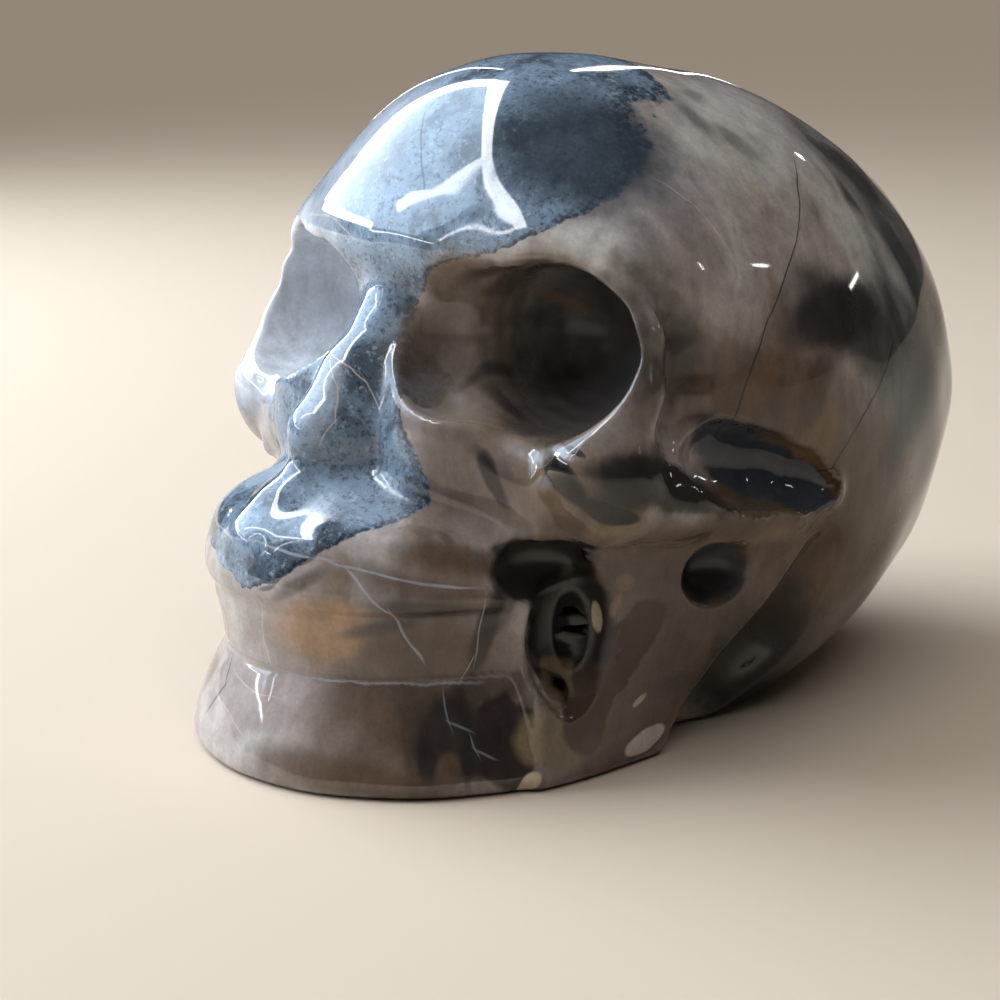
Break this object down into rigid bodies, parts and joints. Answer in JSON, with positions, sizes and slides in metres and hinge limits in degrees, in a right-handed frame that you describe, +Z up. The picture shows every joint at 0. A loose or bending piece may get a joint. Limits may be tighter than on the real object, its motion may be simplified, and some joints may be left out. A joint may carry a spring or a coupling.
{
  "type": "carved stone skull",
  "caption": "Palm-sized skull carved from banded agate, polished all over, with round eye sockets and a flat underside to rest on.",
  "frame": {"origin": "middle of the skull's box, on the flat underside", "axes": "+Z up, the face looks along -Y, the skull's own left side is +X"},
  "size_m": [0.0694, 0.0988, 0.072],
  "materials": {
    "agate": "polished, wet-looking gloss"
  },
  "bodies": {
    "root": {"skull": "agate"}
  },
  "joints": []
}
